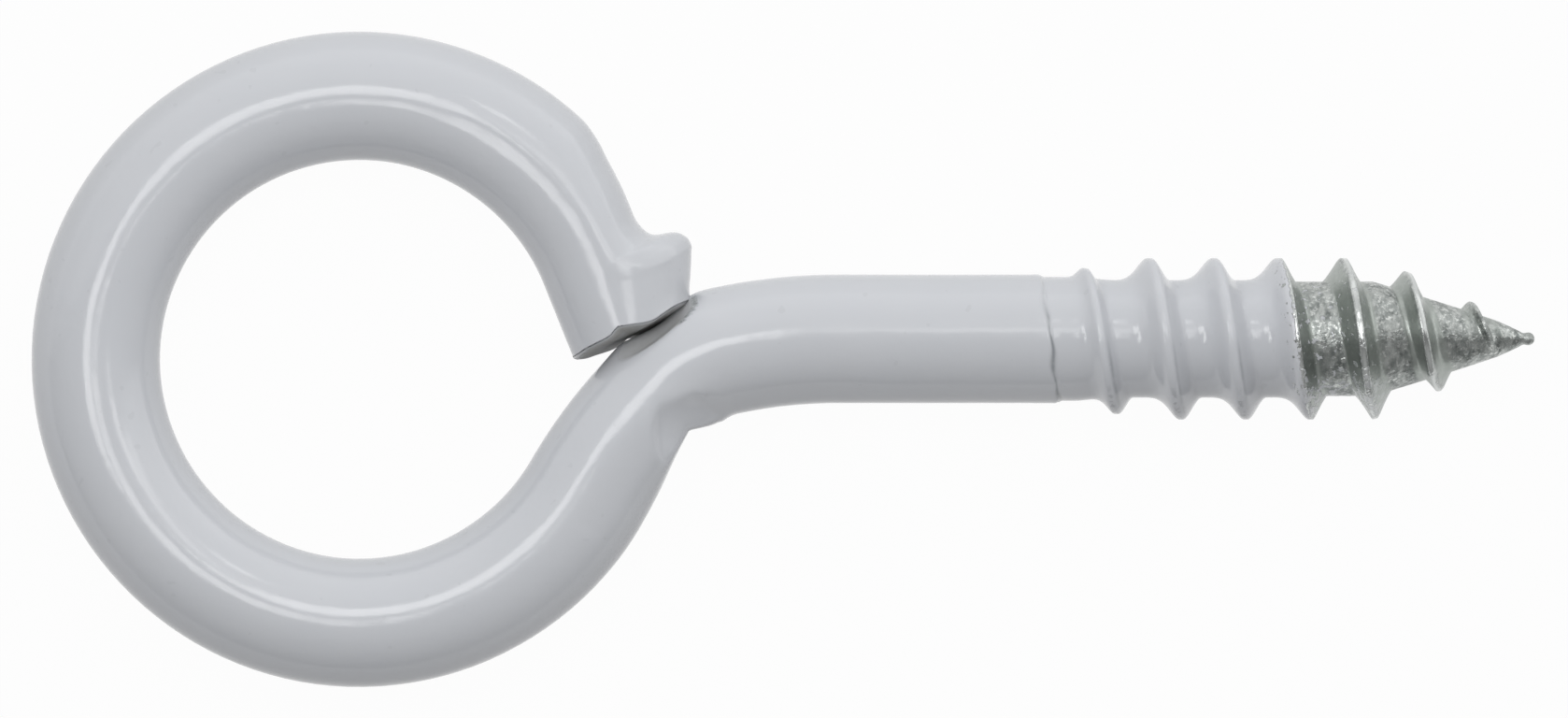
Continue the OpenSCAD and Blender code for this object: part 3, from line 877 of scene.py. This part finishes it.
# The sky's brightness by angle from straight up toward +Y, and how much brighter it is beyond the tip
SKY = [
    (-90, 0.26), (-60, 0.40), (-38, 0.40), (-22, 0.3), (-8, 0.15), (6, 0.12), (12, 0.5), (16, 0.82),
    (30, 0.73), (60, 0.87), (90, 1.42),
]
BEYOND_TIP, BEYOND_TIP_X, BEYOND_TIP_Y = 0.5, (0.4, 0.7), (0.0, 0.2)

# The camera looks straight down from above the middle of the photo
VIEW_CENTRE = (13.14, 0.01)
VIEW_WIDTH = 48.5
CAMERA_HEIGHT = 500.0
SENSOR = 36.0
CLIP_NEAR, CLIP_FAR = 10.0, 10000.0


def add_object(name, data):
    """An object in the scene."""
    thing = bpy.data.objects.new(name, data)
    bpy.context.scene.collection.objects.link(thing)
    return thing


def add_floor():
    mesh = bpy.data.meshes.new("floor")
    half, z = FLOOR_HALF, -CREST_R * MM
    mesh.from_pydata([(-half, -half, z), (half, -half, z), (half, half, z), (-half, half, z)], [], [(0, 1, 2, 3)])
    mesh.materials.append(floor_material())
    add_object("floor", mesh)


def add_lamps():
    for name, (centre, size, radiance) in LAMPS.items():
        data = bpy.data.lights.new(name, "AREA")
        data.shape = "RECTANGLE"
        data.size, data.size_y = size[0] * MM, size[1] * MM
        data.energy = radiance * math.pi * data.size * data.size_y
        lamp = add_object(name, data)
        lamp.location = Vector(centre) * MM
        lamp.visible_camera = False


def add_sky():
    """Soft studio surroundings: brighter behind the object, dim round the camera's opening overhead."""
    world = bpy.data.worlds.new("studio")
    bpy.context.scene.world = world
    world.use_nodes = True
    n = Nodes(world.node_tree)
    way = n.add("ShaderNodeTexCoord").outputs["Generated"]
    axes = n.add("ShaderNodeSeparateXYZ", {0: way}).outputs
    lean = n.math("ARCTAN2", axes["Y"], axes["Z"])
    ramp_node = n.add("ShaderNodeValToRGB", {"Fac": n.math("MULTIPLY_ADD", lean, 1 / math.pi, 0.5)})
    stops = ramp_node.color_ramp.elements
    for _ in range(len(SKY) - len(stops)):
        stops.new(0.5)
    for stop, (angle, level) in zip(stops, SKY):
        stop.position = angle / 180 + 0.5
        stop.color = (level, level, level, 1)
    beyond_tip = n.times(n.span(axes["X"], *BEYOND_TIP_X), n.span(axes["Y"], *BEYOND_TIP_Y))
    strength = n.math("MULTIPLY_ADD", beyond_tip, BEYOND_TIP, 1.0)
    background = n.add("ShaderNodeBackground", {"Color": ramp_node.outputs[0], "Strength": strength})
    n.add("ShaderNodeOutputWorld", {"Surface": background.outputs[0]})


def add_camera():
    data = bpy.data.cameras.new("camera")
    data.sensor_width = SENSOR
    data.lens = SENSOR * CAMERA_HEIGHT / VIEW_WIDTH
    data.clip_start, data.clip_end = CLIP_NEAR * MM, CLIP_FAR * MM
    camera = add_object("camera", data)
    camera.location = Vector((*VIEW_CENTRE, CAMERA_HEIGHT)) * MM
    bpy.context.scene.camera = camera


add_camera()
wire = build_wire()
wire.data.materials.append(coated_wire_material())
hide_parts(NODE)
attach(wire, "root")
add_floor()
add_sky()
add_lamps()
bpy.context.scene.view_settings.view_transform = "Standard"
